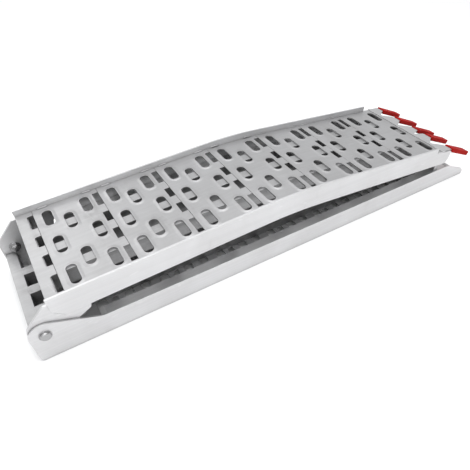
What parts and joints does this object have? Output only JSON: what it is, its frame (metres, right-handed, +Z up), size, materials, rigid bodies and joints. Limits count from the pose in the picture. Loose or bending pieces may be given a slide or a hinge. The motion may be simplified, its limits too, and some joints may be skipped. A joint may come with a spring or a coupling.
{
  "type": "folding loading ramp",
  "caption": "Folding wheel ramp for a truck or trailer: two slotted aluminium halves on a bolt hinge, the upper half arched, ending in bent fingers with red rubber caps",
  "frame": {"origin": "middle of the bounding box of the folded ramp, on the floor it stands on", "axes": "+X runs along the ramp from the hinge to the finger end, +Y across it, +Z up"},
  "size_m": [1.1642, 0.292, 0.1586],
  "materials": {
    "rail_aluminium": "mill finish",
    "deck_aluminium": "stamped, dull",
    "frame_aluminium": "extruded, dull",
    "finger_plate_aluminium": "mill finish",
    "red_rubber": "satin",
    "zinc_steel": "zinc plated"
  },
  "bodies": {
    "lower_half": {"hinge_bolt_far": "zinc_steel", "hinge_bolt_near": "zinc_steel", "hinge_head_washers": "zinc_steel", "hinge_nut_far": "zinc_steel", "hinge_nut_near": "zinc_steel", "hinge_nut_washers": "zinc_steel", "lower_deck_plate_1": "deck_aluminium", "lower_deck_plate_2": "deck_aluminium", "lower_deck_plate_3": "deck_aluminium", "lower_deck_plate_4": "deck_aluminium", "lower_deck_plate_5": "deck_aluminium", "lower_deck_plate_6": "deck_aluminium", "lower_deck_plate_7": "deck_aluminium", "lower_deck_strip": "deck_aluminium", "lower_end_bar": "frame_aluminium", "lower_rail_far": "rail_aluminium", "lower_rail_near": "rail_aluminium", "lower_stringer_far": "frame_aluminium", "lower_stringer_middle": "frame_aluminium", "lower_stringer_near": "frame_aluminium", "lower_toe_plate": "deck_aluminium"},
    "upper_half": {"finger_bar": "frame_aluminium", "finger_cap_1": "red_rubber", "finger_cap_2": "red_rubber", "finger_cap_3": "red_rubber", "finger_cap_4": "red_rubber", "finger_cap_5": "red_rubber", "finger_plate": "finger_plate_aluminium", "upper_deck_plate_1": "deck_aluminium", "upper_deck_plate_2": "deck_aluminium", "upper_deck_plate_3": "deck_aluminium", "upper_deck_plate_4": "deck_aluminium", "upper_deck_plate_5": "deck_aluminium", "upper_deck_plate_6": "deck_aluminium", "upper_deck_plate_7": "deck_aluminium", "upper_deck_strip": "deck_aluminium", "upper_end_bar": "frame_aluminium", "upper_rail_far": "rail_aluminium", "upper_rail_near": "rail_aluminium", "upper_stringer_far": "frame_aluminium", "upper_stringer_middle": "frame_aluminium", "upper_stringer_near": "frame_aluminium", "upper_tongue_far": "rail_aluminium", "upper_tongue_near": "rail_aluminium"}
  },
  "joints": [
    {"name": "fold", "type": "hinge", "parent": "lower_half", "child": "upper_half", "pos_m": [-0.5541, 0, 0.063], "axis": [0, -1, 0], "range_deg": [0, 178]}
  ]
}
